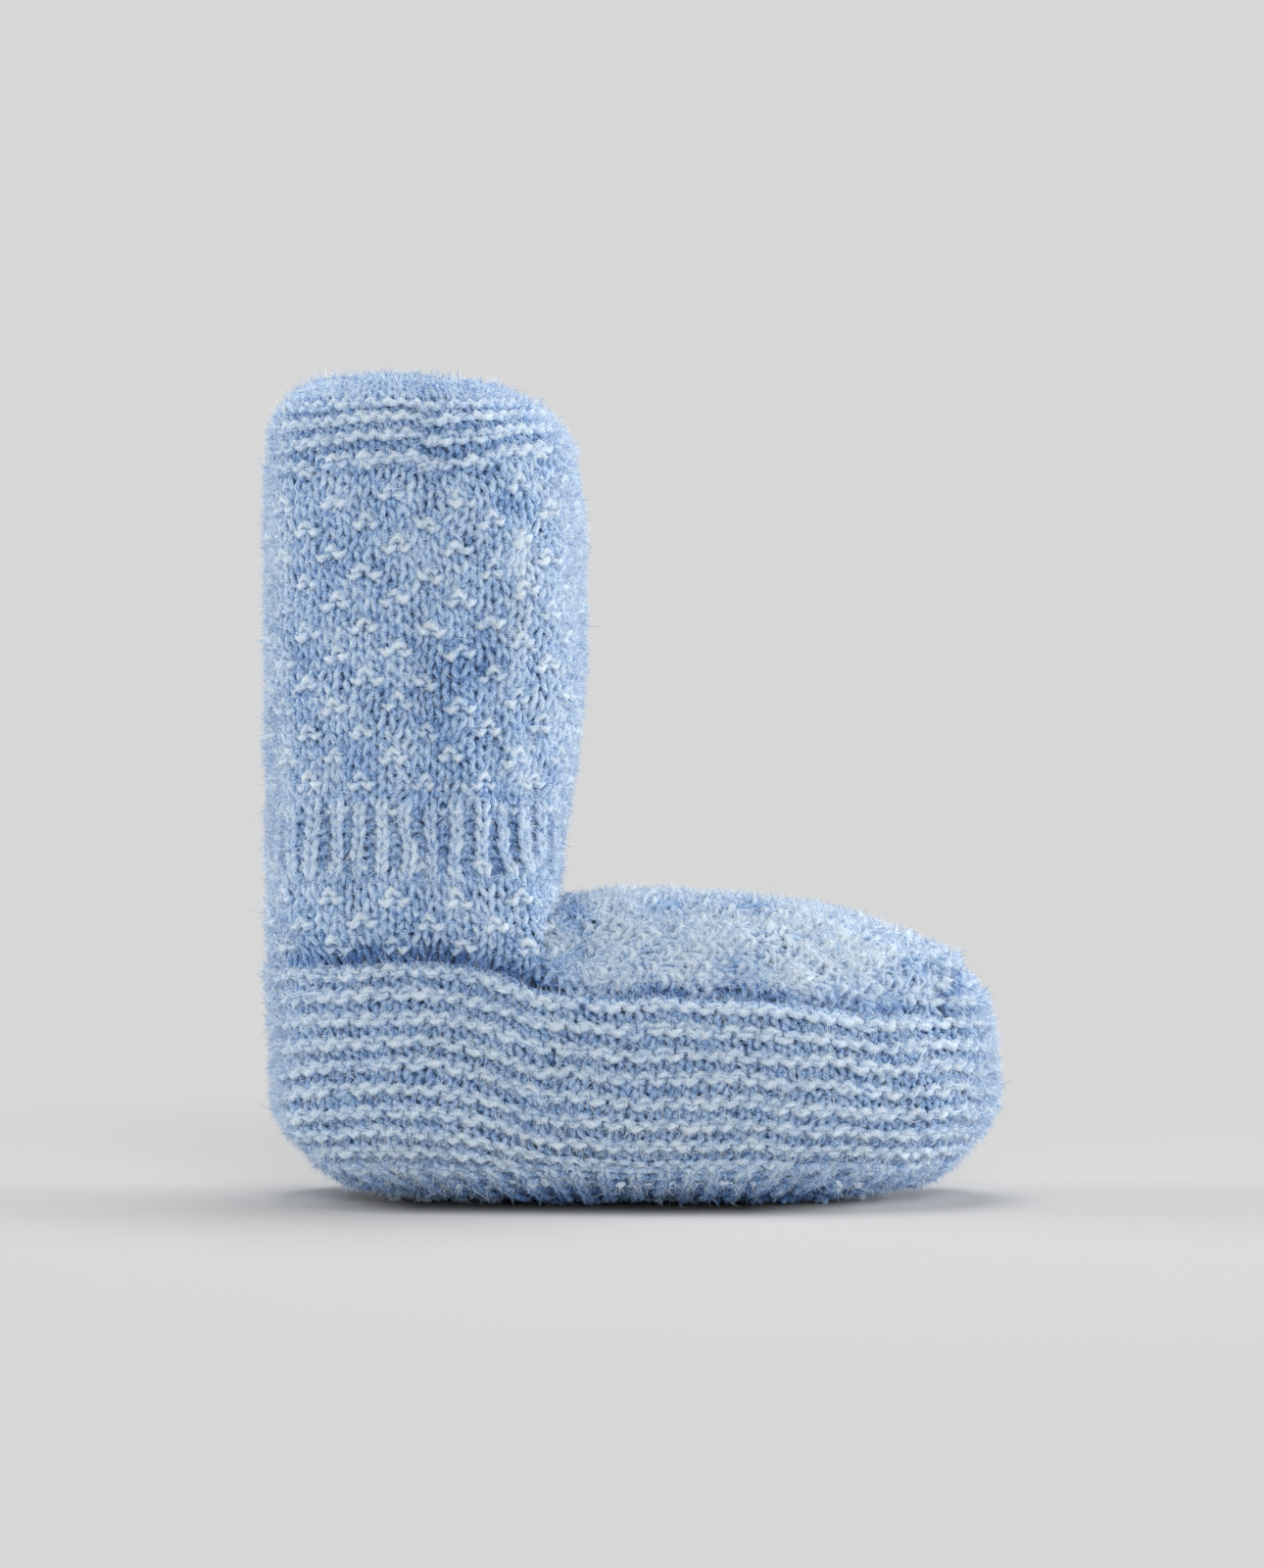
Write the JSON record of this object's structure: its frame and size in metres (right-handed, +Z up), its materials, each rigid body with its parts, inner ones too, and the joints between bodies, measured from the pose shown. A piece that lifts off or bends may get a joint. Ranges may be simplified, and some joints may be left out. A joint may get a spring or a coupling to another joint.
{
  "type": "knitted baby bootie",
  "caption": "High knitted baby bootie with a garter-stitch foot band, domed instep, tall leg and drawn-in garter collar, standing on its soft knitted sole.",
  "frame": {"origin": "on the floor, under the middle of the bootie's length and width", "axes": "+X points to the toe, +Z points up the leg, and Y runs across the foot"},
  "size_m": [0.1192, 0.0488, 0.1335],
  "materials": {
    "leg_knit": "soft brushed wool",
    "band_knit": "soft brushed wool",
    "sole_knit": "soft brushed wool"
  },
  "bodies": {
    "root": {"upper": "leg_knit", "side_band": "band_knit", "sole": "sole_knit"}
  },
  "joints": []
}
